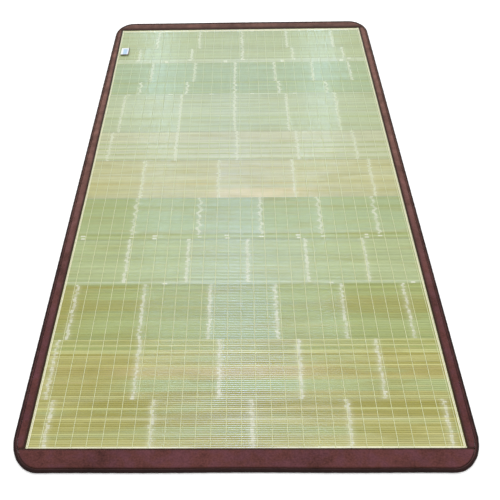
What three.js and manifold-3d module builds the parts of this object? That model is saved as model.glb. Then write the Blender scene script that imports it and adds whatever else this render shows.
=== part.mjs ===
// Bamboo sleeping mat: slats laid side by side, framed by a cloth binding with a piped edge.
// Millimetres. X runs across the mat, Y along it from the near end to the far end, Z is up.
// The origin is on the floor under the middle of the mat.

import * as THREE from 'three';
import { mergeVertices } from 'three/addons/utils/BufferGeometryUtils.js';
import Module from 'manifold-3d';

// Whole mat
const MAT_WIDTH = 900;
const MAT_LENGTH = 1900;
const CORNER_ACROSS = 60;
const CORNER_ALONG = 85;
const CORNER_STEPS = 9;

// Space kept between pieces that are sewn together
const GAP = 0.3;

// Slats: one sheet of split bamboo, ribbed across the mat
const SLAT_COUNT = 364;
const SLAT_INSET = 12.5;
const SLAT_UNDERSIDE = 1.3;
const SLAT_TOP = 4.6;
const GROOVE_DEPTH = 0.8;
const GROOVE_WIDTH = 1.2;

// Binding: cloth turned round the slats, with a hem lying on top and one underneath
const SIDE_BINDING_WIDTH = 27;
const END_BINDING_WIDTH = 53;
const HEM_CHAMFER = 1.2;
const HEM_CHAMFER_START = 5.6;
const BINDING_FOOT_INSET = 9.2;
const BINDING_FOOT_HEIGHT = 1.2;

// Height of the binding's upper face, from its outer edge inwards
const BINDING_TOP = [
  { inset: 8.3, height: 5.4 },
  { inset: 9.2, height: 6.7 },
  { inset: 13, height: 7.3 },
  { inset: 20, height: 7.1 },
  { inset: 27, height: 6.7 },
  { inset: 40, height: 6.5 },
];

// Piping: a covered cord sewn round the outer edge
const PIPING_WIDTH = 8;
const PIPING_SIDES = 10;

// How far each edge draws inwards between its corners, and how often along its length
const EDGES = [
  { name: 'right', steps: 12, dip: 1.4, turns: 0.5 },
  { name: 'far', steps: 12, dip: 3.2, turns: 0.67 },
  { name: 'left', steps: 12, dip: 1.2, turns: 0.5 },
  { name: 'near', steps: 10, dip: 1, turns: 1 },
];

// Label: a blank patch lying on the slats at the far left corner, its near end curling up
const LABEL_WIDTH = 28;
const LABEL_THICKNESS = 1;
const LABEL_LEFT = -416.5;
const LABEL_FAR_END = 760;
const LABEL_RISE = [
  { along: 0, rise: 0 },
  { along: 28, rise: 0.1 },
  { along: 40, rise: 0.8 },
  { along: 50, rise: 2.2 },
  { along: 56, rise: 3.6 },
];

// Height above everything, for cutters that reach right through
const CLEAR = 20;

const COLOURS = {
  slats: 0xb9c48c,
  binding: 0x6a4143,
  piping: 0x4a3032,
  label: 0xe8edf2,
};

const manifold = await Module();
manifold.setup();

// Turns a closed mesh with merged vertices into a solid that can be cut.
function toSolid(geometry) {
  const merged = mergeVertices(positionsOnly(geometry), 1e-5);
  return new manifold.Manifold(new manifold.Mesh({
    numProp: 3,
    vertProperties: new Float32Array(merged.attributes.position.array),
    triVerts: new Uint32Array(merged.index.array),
  }));
}

function positionsOnly(geometry) {
  const plain = new THREE.BufferGeometry();
  plain.setAttribute('position', geometry.attributes.position);
  plain.setIndex(geometry.index);
  return plain;
}

function toGeometry(solid) {
  const mesh = solid.getMesh();
  const geometry = new THREE.BufferGeometry();
  geometry.setAttribute('position', new THREE.BufferAttribute(mesh.vertProperties, 3));
  geometry.setIndex(new THREE.BufferAttribute(mesh.triVerts, 1));
  return geometry;
}

// Joins level loops of equal length, given from the bottom up, into one closed body.
function loft(loops) {
  const count = loops[0].length;
  const positions = loops.flat().flatMap((point) => [point.x, point.y, point.z]);
  const faces = [];
  for (let level = 0; level + 1 < loops.length; level += 1) {
    for (let i = 0; i < count; i += 1) {
      const a = level * count + i;
      const b = level * count + (i + 1) % count;
      faces.push(a, b, b + count, a, b + count, a + count);
    }
  }
  const top = (loops.length - 1) * count;
  const flat = (loop) => loop.map((point) => new THREE.Vector2(point.x, point.y));
  for (const [a, b, c] of THREE.ShapeUtils.triangulateShape(flat(loops[0]), [])) {
    faces.push(a, c, b);
  }
  for (const [a, b, c] of THREE.ShapeUtils.triangulateShape(flat(loops[loops.length - 1]), [])) {
    faces.push(top + a, top + b, top + c);
  }
  const geometry = new THREE.BufferGeometry();
  geometry.setAttribute('position', new THREE.Float32BufferAttribute(positions, 3));
  geometry.setIndex(faces);
  return geometry;
}

// How far an edge draws inwards at u, which runs from -1 to 1 between its two corners.
function inwardDraw(edge, u) {
  const wave = (1 + Math.cos(2 * Math.PI * edge.turns * u)) / 2;
  return edge.dip * wave * (1 - u ** 4);
}

// One quarter of the outline: a point on a corner's arc, with the direction into the mat.
function cornerStation(quarter, angle) {
  const signX = quarter === 0 || quarter === 3 ? 1 : -1;
  const signY = quarter < 2 ? 1 : -1;
  const slope = new THREE.Vector2(-Math.cos(angle) / CORNER_ACROSS, -Math.sin(angle) / CORNER_ALONG);
  slope.normalize();
  return {
    x: signX * (MAT_WIDTH / 2 - CORNER_ACROSS) + CORNER_ACROSS * Math.cos(angle),
    y: signY * (MAT_LENGTH / 2 - CORNER_ALONG) + CORNER_ALONG * Math.sin(angle),
    inX: slope.x,
    inY: slope.y,
    draw: 0,
  };
}

// The stations of one edge, then those of the corner that follows it, anticlockwise from above.
function quarterStations(edge, quarter) {
  const startAngle = quarter * Math.PI / 2;
  const from = cornerStation((quarter + 3) % 4, startAngle);
  const to = cornerStation(quarter, startAngle);
  const stations = [];
  for (let i = 0; i < edge.steps; i += 1) {
    const part = i / edge.steps;
    stations.push({
      x: THREE.MathUtils.lerp(from.x, to.x, part),
      y: THREE.MathUtils.lerp(from.y, to.y, part),
      inX: from.inX,
      inY: from.inY,
      draw: inwardDraw(edge, 2 * part - 1),
    });
  }
  for (let i = 0; i < CORNER_STEPS; i += 1) {
    stations.push(cornerStation(quarter, startAngle + i / CORNER_STEPS * Math.PI / 2));
  }
  return stations;
}

const stations = EDGES.flatMap(quarterStations);

// A level loop round the mat at an inset from the outer edge. An uneven loop follows the drawn-in edges.
function loopAt(inset, height, uneven) {
  const outer = BINDING_TOP[1].inset;
  const inner = BINDING_TOP[BINDING_TOP.length - 1].inset;
  const follow = uneven ? THREE.MathUtils.clamp((inner - inset) / (inner - outer), 0, 1) : 0;
  return stations.map((station) => {
    const reach = inset + station.draw * follow;
    return new THREE.Vector3(station.x + station.inX * reach, station.y + station.inY * reach, height);
  });
}

function block(fromX, toX, fromY, toY) {
  const box = new THREE.BoxGeometry(toX - fromX, toY - fromY, 2 * CLEAR);
  box.translate((fromX + toX) / 2, (fromY + toY) / 2, 0);
  return toSolid(box);
}

// A rectangle at a height, as a loop that a loft can join.
function rectangleLoop(halfWidth, halfLength, height) {
  const signs = [[1, -1], [1, 1], [-1, 1], [-1, -1]];
  return signs.map(([x, y]) => new THREE.Vector3(x * halfWidth, y * halfLength, height));
}

// The binding before it is parted: a low frame with a crown, a slot for the slats and a chamfered hem.
function bindingFrame() {
  const outerInset = BINDING_TOP[0].inset;
  const plate = loft([
    loopAt(BINDING_FOOT_INSET, 0, true),
    loopAt(outerInset, BINDING_FOOT_HEIGHT, true),
    ...BINDING_TOP.map((row) => loopAt(row.inset, row.height, true)),
  ]);
  const halfWidth = MAT_WIDTH / 2 - SIDE_BINDING_WIDTH;
  const halfLength = MAT_LENGTH / 2 - END_BINDING_WIDTH;
  const chamferTop = HEM_CHAMFER_START + HEM_CHAMFER;
  const window = loft([
    rectangleLoop(halfWidth, halfLength, -CLEAR),
    rectangleLoop(halfWidth, halfLength, HEM_CHAMFER_START),
    rectangleLoop(halfWidth + HEM_CHAMFER, halfLength + HEM_CHAMFER, chamferTop),
    rectangleLoop(halfWidth + HEM_CHAMFER, halfLength + HEM_CHAMFER, CLEAR),
  ]);
  const slotInset = SLAT_INSET - GAP;
  const slot = loft([
    loopAt(slotInset, SLAT_UNDERSIDE - GAP, false),
    loopAt(slotInset, SLAT_TOP + GAP, false),
  ]);
  return toSolid(plate).subtract(toSolid(window)).subtract(toSolid(slot));
}

// The end bindings run the full width and take the corners. The side bindings butt against them.
function bindingPieces() {
  const frame = bindingFrame();
  const seam = MAT_LENGTH / 2 - END_BINDING_WIDTH;
  const beyond = MAT_LENGTH;
  const inside = MAT_WIDTH / 4;
  return {
    binding_near: frame.intersect(block(-beyond, beyond, -beyond, -seam - GAP / 2)),
    binding_far: frame.intersect(block(-beyond, beyond, seam + GAP / 2, beyond)),
    binding_left: frame.intersect(block(-beyond, -inside, -seam + GAP / 2, seam - GAP / 2)),
    binding_right: frame.intersect(block(inside, beyond, -seam + GAP / 2, seam - GAP / 2)),
  };
}

// The piping's round section with a flat top and foot: distance in from the edge, and height.
function pipingSection() {
  const radius = PIPING_WIDTH / 2;
  const step = 2 * Math.PI / PIPING_SIDES;
  const steepest = Math.cos(step / 2);
  const section = [];
  for (let i = 0; i < PIPING_SIDES; i += 1) {
    const angle = i * step;
    section.push({
      inset: radius - radius * Math.cos(angle),
      height: radius + radius * Math.sin(angle) / steepest,
    });
  }
  return section;
}

// A length of piping along a run of stations, closed at both ends.
function piping(first, last) {
  const section = pipingSection();
  const count = section.length;
  const positions = [];
  const faces = [];
  for (let i = first; i <= last; i += 1) {
    const station = stations[i % stations.length];
    let along = 0;
    if (i === first) along = GAP / 2;
    if (i === last) along = -GAP / 2;
    for (const corner of section) {
      const reach = corner.inset + station.draw;
      positions.push(
        station.x + station.inX * reach + station.inY * along,
        station.y + station.inY * reach - station.inX * along,
        corner.height,
      );
    }
  }
  for (let row = 0; row < last - first; row += 1) {
    for (let i = 0; i < count; i += 1) {
      const a = row * count + i;
      const b = row * count + (i + 1) % count;
      faces.push(a, b + count, b, a, a + count, b + count);
    }
  }
  const end = (last - first) * count;
  for (let i = 1; i + 1 < count; i += 1) {
    faces.push(0, i, i + 1);
    faces.push(end, end + i + 1, end + i);
  }
  const geometry = new THREE.BufferGeometry();
  geometry.setAttribute('position', new THREE.Float32BufferAttribute(positions, 3));
  geometry.setIndex(faces);
  return geometry;
}

// The end lengths take both corners, and the side lengths are the straight stretches between.
function pipingPieces() {
  const starts = {};
  let index = 0;
  for (const edge of EDGES) {
    starts[edge.name] = index;
    index += edge.steps + CORNER_STEPS;
  }
  const edgeEnd = (number) => starts[EDGES[number].name] + EDGES[number].steps;
  return {
    piping_right: piping(starts.right, edgeEnd(0)),
    piping_far: piping(edgeEnd(0), starts.left),
    piping_left: piping(starts.left, edgeEnd(2)),
    piping_near: piping(edgeEnd(2), index),
  };
}

// The sheet of slats: a ribbed section along the mat, drawn across it and rounded at the corners.
function slatField() {
  const fieldLength = MAT_LENGTH - 2 * SLAT_INSET;
  const pitch = fieldLength / SLAT_COUNT;
  const section = new THREE.Shape();
  section.moveTo(-fieldLength / 2, SLAT_UNDERSIDE);
  section.lineTo(fieldLength / 2, SLAT_UNDERSIDE);
  for (let i = SLAT_COUNT - 1; i >= 0; i -= 1) {
    const edge = -fieldLength / 2 + i * pitch;
    section.lineTo(edge + pitch, SLAT_TOP - GROOVE_DEPTH);
    section.lineTo(edge + pitch - GROOVE_WIDTH / 2, SLAT_TOP);
    section.lineTo(edge + GROOVE_WIDTH / 2, SLAT_TOP);
  }
  section.lineTo(-fieldLength / 2, SLAT_TOP - GROOVE_DEPTH);
  const ribbed = new THREE.ExtrudeGeometry(section, { depth: MAT_WIDTH, bevelEnabled: false });
  ribbed.translate(0, 0, -MAT_WIDTH / 2);
  ribbed.applyMatrix4(new THREE.Matrix4().makeBasis(
    new THREE.Vector3(0, 1, 0),
    new THREE.Vector3(0, 0, 1),
    new THREE.Vector3(1, 0, 0),
  ));
  const rounded = loft([loopAt(SLAT_INSET, 0, false), loopAt(SLAT_INSET, CLEAR, false)]);
  return toSolid(ribbed).intersect(toSolid(rounded));
}

// The label's side outline, flat on the slats at its far end, drawn across its width.
function label() {
  const rest = SLAT_TOP + GAP;
  const side = new THREE.Shape();
  side.moveTo(LABEL_FAR_END, rest);
  const lower = LABEL_RISE.map((row) => [LABEL_FAR_END - row.along, rest + row.rise]);
  for (const [along, height] of lower.slice(1)) {
    side.lineTo(along, height);
  }
  for (const [along, height] of lower.reverse()) {
    side.lineTo(along, height + LABEL_THICKNESS);
  }
  const sheet = new THREE.ExtrudeGeometry(side, { depth: LABEL_WIDTH, bevelEnabled: false });
  sheet.applyMatrix4(new THREE.Matrix4().makeBasis(
    new THREE.Vector3(0, 1, 0),
    new THREE.Vector3(0, 0, 1),
    new THREE.Vector3(1, 0, 0),
  ));
  sheet.translate(LABEL_LEFT, 0, 0);
  return sheet;
}

function material(colour, roughness) {
  return new THREE.MeshStandardMaterial({ color: colour, roughness, metalness: 0 });
}

const materials = {
  slats: material(COLOURS.slats, 0.5),
  binding: material(COLOURS.binding, 0.9),
  piping: material(COLOURS.piping, 0.9),
  label: material(COLOURS.label, 0.6),
};

function addPiece(group, name, geometry, finish) {
  const mesh = new THREE.Mesh(geometry, finish);
  mesh.name = name;
  group.add(mesh);
}

const mat = new THREE.Group();
addPiece(mat, 'slat_field', toGeometry(slatField()), materials.slats);
for (const [name, solid] of Object.entries(bindingPieces())) {
  addPiece(mat, name, toGeometry(solid), materials.binding);
}
for (const [name, geometry] of Object.entries(pipingPieces())) {
  addPiece(mat, name, geometry, materials.piping);
}
addPiece(mat, 'label', label(), materials.label);

export default mat;
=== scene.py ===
"""Bamboo sleeping mat: split slats sewn side by side, a cloth binding and a piped edge.

Metres. X runs across the mat, Y along it from the near end to the far end, Z is up.
"""
import math
from collections import namedtuple

import bpy
import numpy as np
from bpy.props import FloatProperty, FloatVectorProperty, IntProperty, PointerProperty
from bpy.types import Operator, Panel, PropertyGroup
from mathutils import Matrix, Vector


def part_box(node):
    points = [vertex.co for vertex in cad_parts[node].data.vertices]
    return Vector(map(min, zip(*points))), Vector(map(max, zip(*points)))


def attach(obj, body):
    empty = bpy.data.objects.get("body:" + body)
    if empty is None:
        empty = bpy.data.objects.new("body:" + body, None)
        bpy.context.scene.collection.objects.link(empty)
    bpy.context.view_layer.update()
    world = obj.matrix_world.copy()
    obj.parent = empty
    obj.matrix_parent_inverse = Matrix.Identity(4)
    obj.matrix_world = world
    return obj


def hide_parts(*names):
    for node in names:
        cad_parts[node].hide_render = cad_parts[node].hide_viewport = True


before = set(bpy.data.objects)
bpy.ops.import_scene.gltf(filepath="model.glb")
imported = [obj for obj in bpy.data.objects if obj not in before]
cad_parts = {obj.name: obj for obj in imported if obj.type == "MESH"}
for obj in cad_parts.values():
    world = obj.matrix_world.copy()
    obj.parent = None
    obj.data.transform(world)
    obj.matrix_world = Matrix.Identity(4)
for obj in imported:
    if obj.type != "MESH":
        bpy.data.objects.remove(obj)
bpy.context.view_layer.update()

bl_info = {
    "name": "Bamboo sleeping mat",
    "version": (1, 0, 0),
    "blender": (4, 5, 0),
    "location": "3D View > Sidebar > Bamboo mat",
    "description": "Builds a bamboo sleeping mat with its threads, binding, piping and label",
    "category": "Object",
}

BODY = "root"

# Sizes read from the frame
HALF_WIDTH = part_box("piping_right")[1][0]
HALF_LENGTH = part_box("piping_far")[1][1]
SLAT_LOW, SLAT_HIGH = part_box("slat_field")
HEM_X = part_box("binding_right")[0][0]
HEM_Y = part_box("binding_far")[0][1]
LABEL_LOW, LABEL_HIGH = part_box("label")
LABEL_WIDTH = LABEL_HIGH[0] - LABEL_LOW[0]
PIPING_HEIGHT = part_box("piping_near")[1][2]

# A side strip ends as far before its seam with an end strip as that strip starts past the seam
SEAM_Y = round(HEM_Y, 3)
SIDE_END = 2 * SEAM_Y - HEM_Y

# Each edge: how far it draws inwards between its corners and how often along its length, how wide
# the painted shade is beside the hem, how strong beside the piping, and how much at least all over
Edge = namedtuple("Edge", "name dip turns hem_shadow piping_shadow soil")
EDGES = (
    Edge("right", 0.0002, 0.5, 0.0042, 0.15, 0.0),
    Edge("far", -0.0010, 0.67, 0.0185, 0.9, 0.3),
    Edge("left", 0.0001, 0.5, 0.0042, 0.15, 0.0),
    Edge("near", 0.0010, 1.0, 0.0028, 0.6, 0.0),
)
SIDES = ("left", "right")

# Height of the binding's upper face, from its outer edge inwards
Crown = namedtuple("Crown", "inset height")
BINDING_TOP = (
    Crown(0.0083, 0.0054),
    Crown(0.0092, 0.0067),
    Crown(0.0130, 0.0073),
    Crown(0.0200, 0.0071),
    Crown(0.0270, 0.0067),
    Crown(0.0400, 0.0065),
)

# How far the left hem moves outwards at places along the mat, from the near end to the far end
HemShift = namedtuple("HemShift", "along out")
LEFT_HEM = (
    HemShift(-0.60, 0.0),
    HemShift(-0.44, -0.0006),
    HemShift(-0.10, -0.0014),
    HemShift(0.05, -0.0012),
    HemShift(0.25, 0.0),
    HemShift(0.45, 0.0004),
    HemShift(0.56, 0.0016),
    HemShift(0.72, 0.0034),
    HemShift(0.89, 0.0052),
)

# The cloth's section, from the turned-under end round the hem and over the top to the return
# below. Shares are of the way from one bend to the next, and in a narrow corner the hem's return
# and the stretch beside it take up at most their shares of the width.
HEM_RETURN = (1.0, 0.5, 0.1)
HEM_RETURN_MOST = 0.75
HEM_TURNS = (-90.0, -50.0, 0.0, 50.0)
BESIDE_HEM = (0.0, 0.0014, 0.0024, 0.003, 0.0036, 0.0048, 0.0065)
BESIDE_HEM_MOST = 0.5
OVER_TOP = (0.1, 0.24, 0.4, 0.56, 0.72, 0.86, 0.94, 1.0)
TOP_TO_WALL = 0.0009
WALL_STEPS = (0.0004, 0.0001, 0.0, 0.0, -0.0004, -0.0008, -0.0006)
WALL_HEIGHTS = (0.0058, 0.0052, 0.0044, 0.0030, 0.0016, 0.0009, 0.0004)
RETURN_BELOW = (0.04, 0.35, 0.68, 1.0)
PAST_HEM = 0.0004

# How far the side strips' top follows the wall inwards near the corners
ROUNDED_SHARE = 0.9

# The cloth's top: the column from the hem that the topstitching follows, the sections that it
# leaves out at each end, its groove, the rim that stays smooth, how far from the hem and the wall
# the cloth puckers, how long puckers are drawn out across the strip, the fewest and most puckers
# and swells in a metre, and their shares
STITCH_COLUMN = 3
STITCH_MARGIN = 2
GROOVE_DEPTH = 0.00026
GROOVE_WIDTH = 0.0013
SMOOTH_RIM = 0.002
HEM_PULL = 0.007
WALL_PULL = 0.006
PUCKER_DRAWN = 0.35
PUCKER_TURNS = (55, 110)
PUCKER_SHARE = 0.7
SWELL_TURNS = (6, 22)
SWELL_SHARE = 0.45
PUCKER_SEED = 20
SWELL_SEED = 30

# Painted shade on the cloth: beside the piping, from a column down the wall on to below the mat,
# and where a side strip meets an end strip, which also sinks a little there
PIPING_SHADOW_AT = 0.0003
PIPING_SHADOW = 0.0016
DARK_COLUMN = 2
BELOW_DARK = 0.9
SEAM_DARK = 0.003
SEAM_REACH = 0.006
SEAM_DEPTH = 0.0005

# Where the end strips stop in the corners, past the hem and past the straight edge
CORNER_PAST_HEM = 0.0035
CORNER_PAST_STRAIGHT = 0.001

# Sections of the piping in a corner, and points of the curve that the cloth's wall follows there
CORNER_STEPS = 24
CURVE_POINTS = 37

# The piping's ripples: shares of the first and second sort, and how much slower the second runs.
# Painted shade in its seam by the binding: how dark, how much darker at the ends, its width; and
# on its outer side: how dark, how far up it leans, how much more at the far end, how it fades.
FIRST_RIPPLE = 0.6
SECOND_RIPPLE = 0.4
SECOND_PACE = 0.61
PIPING_SEAM = 0.25
PIPING_SEAM_ENDS = 0.45
PIPING_SEAM_WIDTH = 0.5
SHADE_STRENGTH = 0.98
SHADE_LEAN = 0.65
SHADE_LEAN_FAR = 0.85
SHADE_FROM = 0.1
SHADE_FADE = 0.35

# The label: columns and rows of its grid, how far it bows up between its sides, how far its free
# corner lifts, and how high its underside stands over the slats, from its far end to its near end
LABEL_COLUMNS = 13
LABEL_ROWS = 29
LABEL_BOW = 0.0003
LABEL_CORNER = 0.0005
Rise = namedtuple("Rise", "along height")
LABEL_RISE = (
    Rise(0.000, 0.0000),
    Rise(0.028, 0.0001),
    Rise(0.040, 0.0008),
    Rise(0.050, 0.0022),
    Rise(0.056, 0.0036),
)
LABEL_LENGTH = LABEL_RISE[-1].along

# A slat's section: across in half widths and up in thicknesses
SLAT_SECTION = (
    (-1.0, 0.0), (1.0, 0.0), (1.0, 0.78), (0.80, 0.95), (0.0, 1.0), (-0.80, 0.95), (-1.0, 0.78),
)

# The narrowest slat's share of the full width, the brightness of a bundle's outermost slats, after
# how many slats a new shade is drawn, and the share of a corner's arc that slats are cut along
NARROWEST = 0.965
RIM_SHADE = 0.86
SHADE_SLATS = 4
ARC_END = 0.999

# A thread's sides, and in its radii how high it lies on the slats, how deep below them, and how
# far apart the two edge rows are
THREAD_SIDES = 4
THREAD_UP = 0.3
THREAD_DOWN = 0.8
PAIR_SPACING = 2.2

# A stitch's sides and rings, and in its radii how high its middle lies on the cloth
STITCH_SIDES = 6
STITCH_RINGS = 4
STITCH_UP = 0.4

# How many waves make up soft unevenness, and the angle past which an edge stays sharp
WAVE_COUNT = 9
SHARP_ANGLE = math.radians(50)

# Bundles of slats from the near end. Slats of a bundle are split from one cane, so their nodes
# line up. A bundle has two tones and the share of the second, its mottling, how far its nodes zigzag
# and their places on X. Bundles of up to TRIM_SLATS slats are trim between the others.
TRIM_SLATS = 3
Bundle = namedtuple("Bundle", "piece slats light deep share mottle zigzag nodes")
BUNDLES = (
    Bundle(1, 31, "straw", "olive", 0.36, 1.0, 0.0, (-0.390, -0.185, 0.015, 0.207, 0.400)),
    Bundle(2, 32, "straw", "olive", 0.42, 0.9, 0.0, (-0.406, -0.227, -0.052, 0.118, 0.286)),
    Bundle(3, 34, "leaf", "moss", 0.52, 0.6, 0.0, (-0.389, -0.231, -0.077, 0.074, 0.227, 0.371)),
    Bundle(3, 1, "mist", "leaf", 0.30, 0.6, 0.0, (-0.184, 0.205, 0.399)),
    Bundle(4, 31, "mist", "leaf", 0.72, 0.4, 0.0, (-0.283, -0.135, 0.011, 0.154, 0.297)),
    Bundle(4, 1, "leaf", "moss", 0.50, 0.4, 0.0, (-0.404, -0.220, -0.040, 0.138, 0.309)),
    Bundle(4, 1, "mist", "leaf", 0.80, 0.4, 0.0, (-0.278, -0.110, 0.048, 0.202, 0.345)),
    Bundle(4, 1, "leaf", "moss", 0.50, 0.4, 0.0, (-0.404, -0.220, -0.040, 0.138, 0.309)),
    Bundle(5, 30, "leaf", "sage", 0.40, 0.5, 0.0035, (-0.280, -0.113, 0.046, 0.198, 0.342)),
    Bundle(6, 34, "cream", "straw", 0.35, 0.6, 0.0, (-0.275, -0.066, 0.141, 0.354)),
    Bundle(7, 29, "cream", "mist", 0.12, 0.4, 0.0, (-0.385, -0.192, -0.015, 0.159, 0.326)),
    Bundle(8, 42, "mist", "leaf", 0.12, 0.3, 0.0, (-0.370, -0.190, -0.022, 0.140, 0.294)),
    Bundle(8, 1, "milk", "mist", 0.30, 0.3, 0.0, (-0.359, -0.226, -0.097, 0.033, 0.167, 0.292)),
    Bundle(9, 15, "sage", "leaf", 0.20, 0.3, 0.0035, (-0.327, -0.176, -0.022, 0.121, 0.272)),
    Bundle(10, 25, "sage", "leaf", 0.18, 0.25, 0.0, (-0.297, -0.156, -0.022, 0.109, 0.234, 0.358)),
    Bundle(10, 3, "milk", "mist", 0.30, 0.25, 0.0, (-0.254, -0.055, 0.138, 0.338)),
    Bundle(11, 2, "milk", "mist", 0.40, 0.2, 0.0, (-0.350, -0.176, 0.002, 0.177, 0.363)),
    Bundle(11, 15, "mist", "leaf", 0.45, 0.2, 0.0, (-0.350, -0.170, 0.004, 0.175, 0.348)),
    Bundle(12, 25, "mist", "leaf", 0.50, 0.25, 0.0, (-0.294, -0.147, 0.002, 0.159, 0.319)),
    Bundle(12, 1, "milk", "mist", 0.20, 0.25, 0.0, (-0.288, -0.125, 0.040, 0.208, 0.382)),
    Bundle(12, 10, "mist", "leaf", 0.50, 0.25, 0.0, (-0.294, -0.147, 0.002, 0.159, 0.319)),
)

SLAT_COUNT = sum(bundle.slats for bundle in BUNDLES)
SLAT_PITCH = (SLAT_HIGH[1] - SLAT_LOW[1]) / SLAT_COUNT

# Slats that stand out: their middle and half width along Y, their tone and its strength, and their
# stretch along X, which is the whole slat where none is given
Streak = namedtuple("Streak", "middle half colour strength left right", defaults=(-0.44, 0.44))
STREAK_FADE = 0.05
STREAKS = (
    Streak(-0.894, 0.003, "rim", 0.9),
    Streak(-0.875, 0.003, "olive", 0.6, -0.44, 0.10),
    Streak(-0.855, 0.010, "leaf", 0.5, -0.25, 0.20),
    Streak(-0.842, 0.003, "olive", 0.6),
    Streak(-0.826, 0.004, "cream", 0.5, -0.20, 0.30),
    Streak(-0.813, 0.008, "olive", 1.0, -0.33, -0.18),
    Streak(-0.813, 0.008, "olive", 0.8, 0.05, 0.40),
    Streak(-0.801, 0.003, "lime", 0.4),
    Streak(-0.790, 0.008, "olive", 1.0, -0.33, -0.20),
    Streak(-0.790, 0.008, "olive", 1.0, 0.02, 0.40),
    Streak(-0.773, 0.003, "lime", 0.3),
    Streak(-0.762, 0.003, "olive", 0.8, -0.14, 0.05),
    Streak(-0.741, 0.015, "leaf", 0.8, -0.22, 0.44),
    Streak(-0.703, 0.012, "tan", 0.8),
    Streak(-0.703, 0.012, "olive", 0.6, -0.44, -0.30),
    Streak(-0.703, 0.012, "olive", 0.6, 0.20, 0.44),
    Streak(-0.682, 0.003, "olive", 0.8, -0.15, 0.44),
    Streak(-0.669, 0.008, "leaf", 0.5, -0.10, 0.25),
    Streak(-0.655, 0.003, "olive", 0.9),
    Streak(-0.649, 0.003, "lime", 0.5),
    Streak(-0.639, 0.003, "moss", 0.9),
    Streak(-0.632, 0.003, "lime", 0.5),
    Streak(-0.623, 0.003, "moss", 0.6),
    Streak(-0.616, 0.003, "lime", 0.5),
    Streak(-0.597, 0.005, "moss", 0.6, -0.36, -0.21),
    Streak(-0.520, 0.070, "olive", 0.8, -0.44, -0.41),
    Streak(-0.507, 0.018, "olive", 0.6, -0.39, -0.24),
    Streak(-0.507, 0.030, "olive", 0.6, 0.24, 0.44),
    Streak(-0.461, 0.003, "moss", 0.6, -0.05, 0.22),
    Streak(-0.446, 0.005, "olive", 0.7, -0.40, -0.27),
    Streak(-0.446, 0.004, "moss", 0.7, 0.05, 0.44),
    Streak(-0.430, 0.004, "milk", 0.7),
    Streak(-0.255, 0.003, "moss", 0.6),
    Streak(-0.244, 0.008, "mist", 0.4),
    Streak(-0.180, 0.070, "moss", 0.35, -0.44, -0.30),
    Streak(-0.143, 0.004, "moss", 0.5),
    Streak(-0.110, 0.004, "moss", 0.5),
    Streak(-0.082, 0.020, "blush", 0.8, -0.05, 0.13),
    Streak(-0.060, 0.030, "straw", 0.6, -0.44, -0.36),
    Streak(-0.040, 0.003, "tan", 0.5, -0.44, 0.15),
    Streak(0.081, 0.003, "leaf", 0.8),
    Streak(0.092, 0.004, "milk", 0.6),
    Streak(0.106, 0.003, "leaf", 0.8),
    Streak(0.117, 0.004, "milk", 0.6),
    Streak(0.131, 0.003, "leaf", 0.8),
    Streak(0.143, 0.004, "milk", 0.5),
    Streak(0.157, 0.003, "leaf", 0.8),
    Streak(0.249, 0.004, "leaf", 0.4, -0.30, 0.44),
    Streak(0.300, 0.004, "leaf", 0.6),
    Streak(0.323, 0.006, "milk", 0.5),
    Streak(0.352, 0.004, "leaf", 0.4, -0.10, 0.44),
    Streak(0.388, 0.004, "leaf", 0.6, -0.20, 0.10),
    Streak(0.450, 0.003, "leaf", 0.6),
    Streak(0.515, 0.003, "leaf", 0.6),
    Streak(0.646, 0.003, "leaf", 0.5),
    Streak(0.892, 0.006, "rim", 0.9),
)

# Lights that show only as long reflections on the slats: place, width and height, share of the
# windows' power, and tone
Window = namedtuple("Window", "name place size share tone")
WINDOWS = (
    Window("window_above", (-0.01, 0.1, 2.6), (0.12, 1.6), 1.0, (0.36, 0.52, 1.0)),
    Window("window_left", (-0.55, 3.2, 1.1), (0.10, 0.9), 0.17, (0.5, 0.75, 1.0)),
    Window("window_right", (0.55, 3.4, 1.1), (0.10, 0.9), 0.17, (0.5, 0.75, 1.0)),
)
SOFTBOX_PLACE = (0.3, -0.2, 3.2)
SOFTBOX_SIZE = (2.4, 2.4)
FLOOR_LEVEL = -0.0002
SENSOR_MM = 36.0


def screen(red, green, blue):
    """A colour as a screen shows it, 0 to 255, as the linear numbers that shaders use."""
    def linear(value):
        part = value / 255
        return part / 12.92 if part <= 0.04045 else ((part + 0.055) / 1.055) ** 2.4
    return (linear(red), linear(green), linear(blue))


def amount(name, description, default, **kind):
    """A number that a user may change; kind holds its unit or subtype."""
    return FloatProperty(name=name, description=description, default=default, **kind)


def length(name, description, default):
    return amount(name, description, default, min=0.0, unit="LENGTH", precision=5)


def whole_number(name, description, default):
    return IntProperty(name=name, description=description, default=default)


def colour(name, description, red, green, blue):
    return FloatVectorProperty(name=name, description=description, subtype="COLOR", size=3,
                               default=screen(red, green, blue), min=0.0, max=1.0)


class OutlineSettings(PropertyGroup):
    """The mat's rounded outline."""
    corner_across: length("Corner across", "Radius of a corner along X", 0.060)
    corner_along: length("Corner along", "Radius of a corner along Y", 0.085)


class SlatSettings(PropertyGroup):
    """The split bamboo slats."""
    width: length("Slat width", "Width of one slat along the mat", 0.00496)
    node_reach: length("Node reach", "Half length of the swelling at a node", 0.006)
    node_swell: length("Node swell", "How far a node stands proud", 0.00022)
    wobble: length("Node wobble", "How far nodes stray from slat to slat", 0.0023)
    zigzag_period: length("Zigzag period", "Length of one zigzag of the nodes", 0.031)
    tilt: amount("Tilt", "How far a slat may lean", 0.03, subtype="ANGLE")
    lift: length("Lift", "How far a slat may lie higher or lower", 0.00006)
    seed: whole_number("Seed", "Start of the random draws", 11)


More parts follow.
